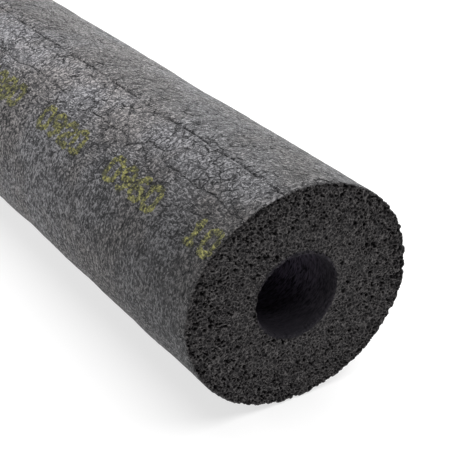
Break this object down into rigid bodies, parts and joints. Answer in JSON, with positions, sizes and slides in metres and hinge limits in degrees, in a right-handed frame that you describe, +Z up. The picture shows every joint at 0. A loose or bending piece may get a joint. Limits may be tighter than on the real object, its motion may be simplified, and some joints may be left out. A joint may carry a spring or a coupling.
{
  "type": "pipe insulation lagging",
  "caption": "Grey closed-cell foam tube for lagging a pipe: a thick soft wall round a narrow bore, cut square at both ends, with a scored seam along the top.",
  "frame": {"origin": "on the floor, under the middle of the tube, which lies on its side", "axes": "+X along the tube towards the near end, +Z up, -Y towards the side with the printed scale"},
  "size_m": [1, 0.0654, 0.0592],
  "materials": {
    "foam": "matte",
    "ink": "matte"
  },
  "bodies": {
    "root": {"foam_tube": "foam"}
  },
  "joints": []
}
